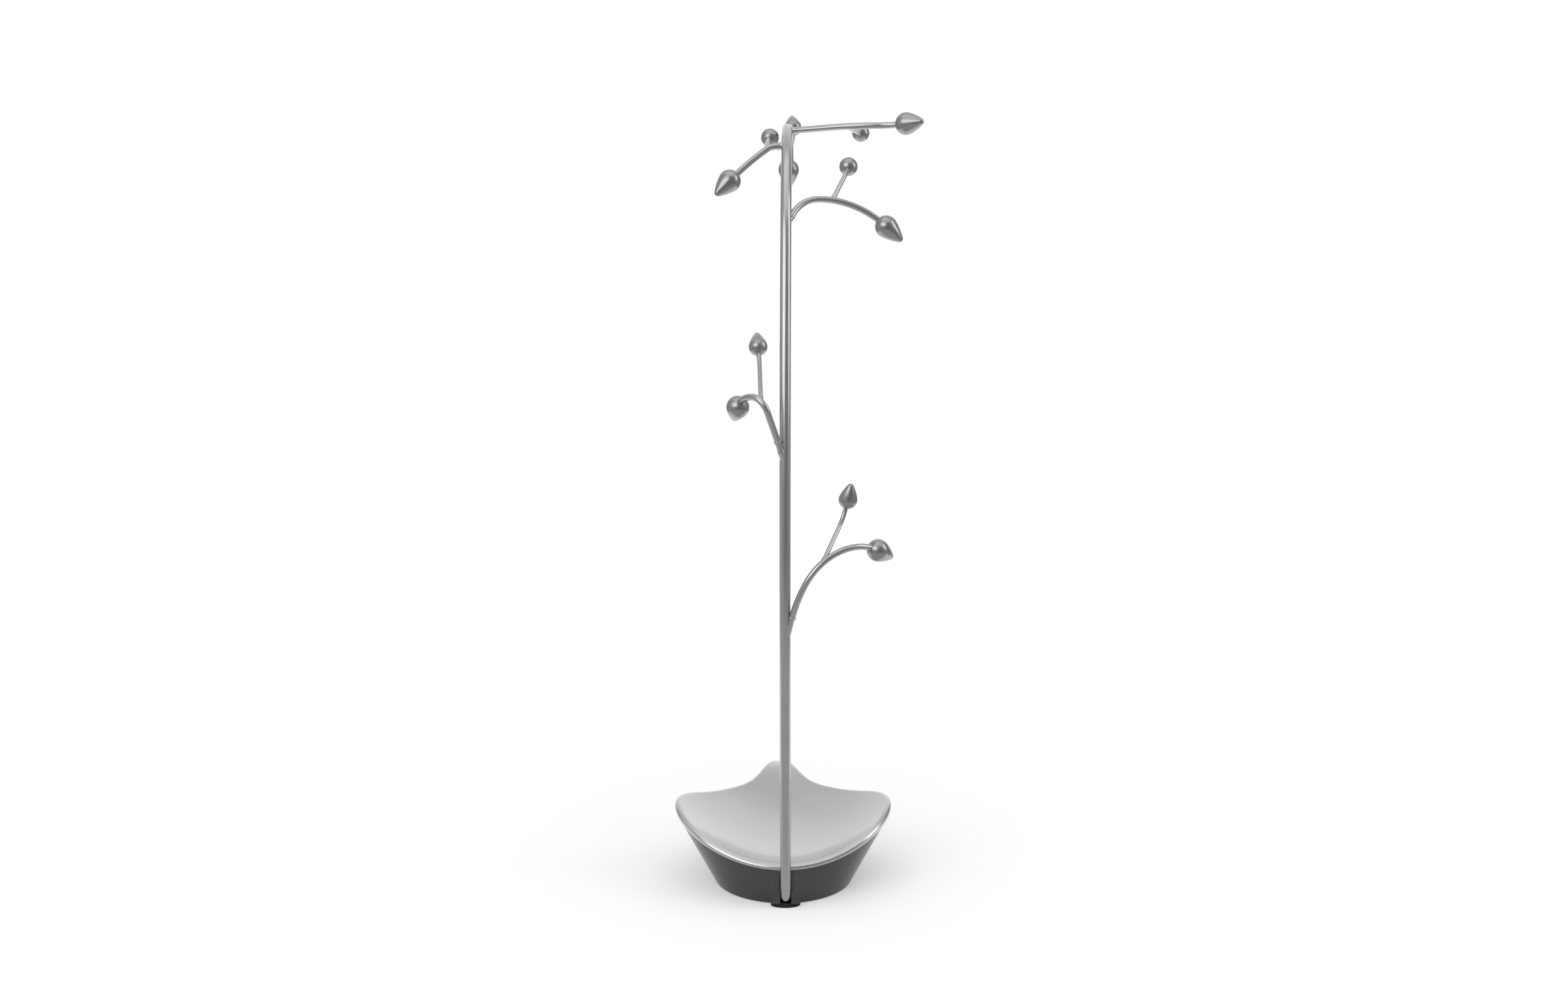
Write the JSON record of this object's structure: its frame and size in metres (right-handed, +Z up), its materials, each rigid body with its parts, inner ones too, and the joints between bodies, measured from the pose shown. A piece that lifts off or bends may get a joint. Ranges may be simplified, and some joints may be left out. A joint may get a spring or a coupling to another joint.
{
  "type": "jewelry tree",
  "caption": "Tabletop jewelry tree: an arched metal stem with curved branches ending in teardrop buds, standing in a petal-shaped ring dish on a weighted base.",
  "frame": {"origin": "on the underside of the anti-slip pad, where the object meets the surface, level with the middle of the dish", "axes": "+Z up along the stem, -Y to the front where the stem stands, +Y back to the tip of the dish, +X to the right as seen from the front"},
  "size_m": [0.1404, 0.1743, 0.4481],
  "materials": {
    "stem": "satin nickel plate",
    "branches": "satin nickel plate",
    "twigs": "satin nickel plate",
    "buds": "satin nickel plate",
    "small_buds": "satin nickel plate",
    "tray": "satin silver, as if metallised",
    "base": "fine matte charcoal",
    "cover": "matte charcoal",
    "ballast": "raw casting",
    "pad": "matte",
    "screws": "zinc plate"
  },
  "bodies": {
    "root": {"anti_slip_pad": "pad", "ballast_plate": "ballast", "base_shell": "base", "bottom_cover": "cover", "cover_screws": "screws", "lower_right_branch": "branches", "lower_right_bud": "buds", "lower_right_small_bud": "small_buds", "lower_right_twig": "twigs", "mid_left_branch": "branches", "mid_left_bud": "buds", "mid_left_small_bud": "small_buds", "mid_left_twig": "twigs", "rear_small_bud": "small_buds", "rear_twig": "twigs", "stem": "stem", "stem_bud": "buds", "stem_screw": "screws", "top_left_branch": "branches", "top_left_bud": "buds", "top_left_small_bud": "small_buds", "top_left_twig": "twigs", "top_right_branch": "branches", "top_right_bud": "buds", "top_right_small_bud": "small_buds", "top_right_twig": "twigs", "tray": "tray", "tray_screws": "screws", "upper_right_branch": "branches", "upper_right_bud": "buds", "upper_right_small_bud": "small_buds", "upper_right_twig": "twigs"}
  },
  "joints": []
}
